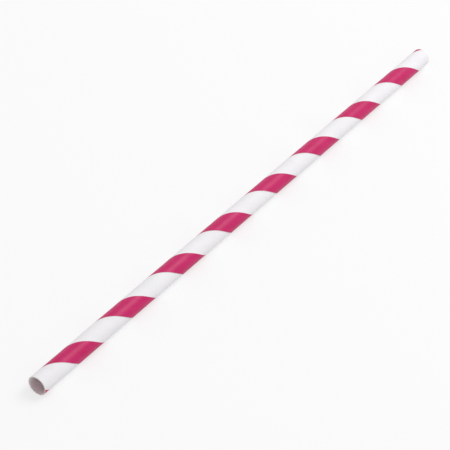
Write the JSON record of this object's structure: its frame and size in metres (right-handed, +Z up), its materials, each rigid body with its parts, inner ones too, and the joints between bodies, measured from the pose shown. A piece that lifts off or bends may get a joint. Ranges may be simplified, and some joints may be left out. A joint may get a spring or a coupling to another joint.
{
  "type": "paper drinking straw",
  "caption": "Straight drinking straw: one spiral-wound paper tube, open at both ends and cut square, with a red and white barber stripe.",
  "frame": {"origin": "on the surface that the straw lies on, under the middle of its length", "axes": "+X along the straw, from the end that is nearer to the viewer to the far one; +Z up"},
  "size_m": [0.197, 0.006, 0.006],
  "materials": {
    "striped_paper": "smooth uncoated white paper, printed outside with one red stripe that winds round it"
  },
  "bodies": {
    "root": {"straw_tube": "striped_paper"}
  },
  "joints": []
}
